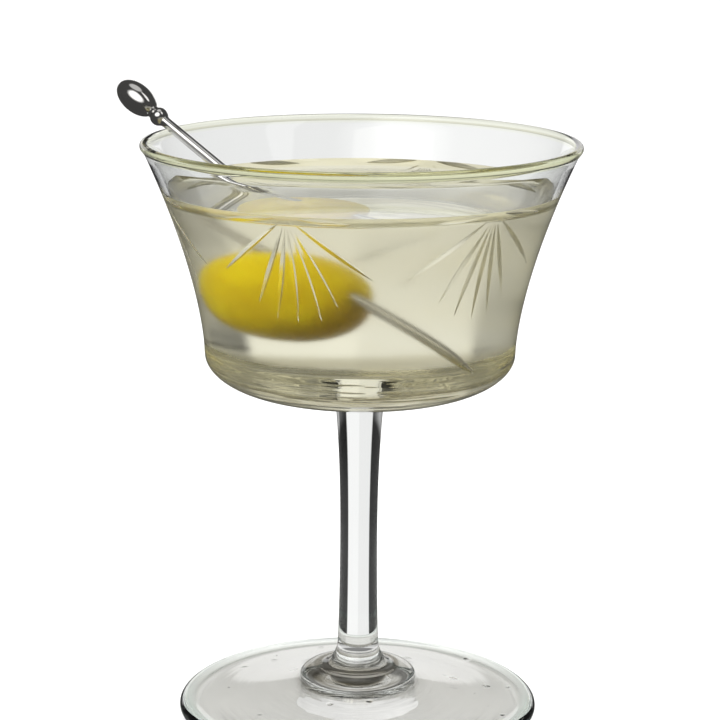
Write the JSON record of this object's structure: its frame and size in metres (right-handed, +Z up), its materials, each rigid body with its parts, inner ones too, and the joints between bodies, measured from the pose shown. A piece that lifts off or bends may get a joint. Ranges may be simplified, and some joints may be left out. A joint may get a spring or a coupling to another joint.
{
  "type": "martini cocktail in a stemmed coupe glass",
  "caption": "Martini in a stemmed, flared coupe with cut fans around the bowl, holding a clear drink and an olive on a metal pick that leans on the lip.",
  "frame": {"origin": "the middle of the foot's flat underside, on the table", "axes": "+Z up along the stem, -Y towards the viewer, +X to the viewer's right; the pick's knob is on the left and its tip points to the front right"},
  "size_m": [0.0966, 0.09, 0.1314],
  "materials": {
    "glass": "clear, fire polished, with matt cut grooves",
    "drink": "clear, very pale straw liquid",
    "olive": "wet, waxy skin",
    "pick_metal": "polished"
  },
  "bodies": {
    "root": {"glass": "glass", "drink": "drink", "olive": "olive", "pick": "pick_metal"}
  },
  "joints": []
}
